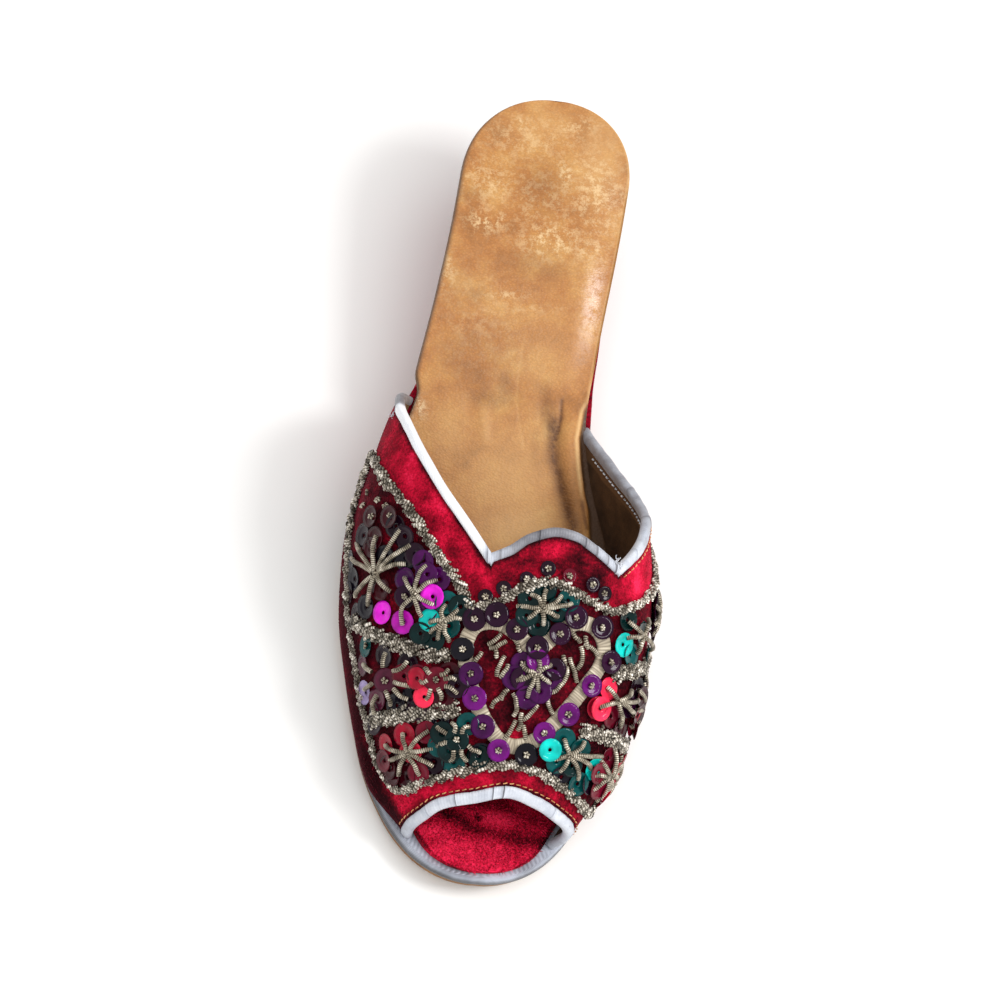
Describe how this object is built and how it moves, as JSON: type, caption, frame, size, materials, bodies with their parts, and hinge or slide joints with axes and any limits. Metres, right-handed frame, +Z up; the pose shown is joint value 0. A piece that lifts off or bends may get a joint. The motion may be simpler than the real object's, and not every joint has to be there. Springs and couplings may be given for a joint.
{
  "type": "wedge mule",
  "caption": "Open-back, open-toe wedge mule in crushed red velvet with couched metal cord, sequins and bullion flowers, silver bindings and a worn tan leather insole.",
  "frame": {"origin": "on the floor, below the middle of the shoe's bounding box", "axes": "+X to the medial side of this right shoe, -Y to the toe, +Y to the heel, +Z up"},
  "size_m": [0.0914, 0.2404, 0.062],
  "materials": {
    "sole_leather": "worn, matt",
    "silver_cloth": "fine twill, slight sheen",
    "velvet": "crushed pile",
    "sock_leather": "worn smooth, glossy in places",
    "satin_binding": "satin ribbon",
    "metal_cord": "tarnished metal thread"
  },
  "bodies": {
    "root": {"outsole": "sole_leather", "platform": "silver_cloth", "wedge": "velvet", "insole": "sock_leather", "toe_sock": "velvet", "upper": "velvet", "throat_binding": "satin_binding", "toe_binding": "satin_binding", "border_cord": "metal_cord", "medallion_band": "metal_cord", "lateral_upper_bar": "metal_cord", "lateral_lower_bar": "metal_cord", "medial_upper_bar": "metal_cord", "medial_lower_bar": "metal_cord"}
  },
  "joints": []
}
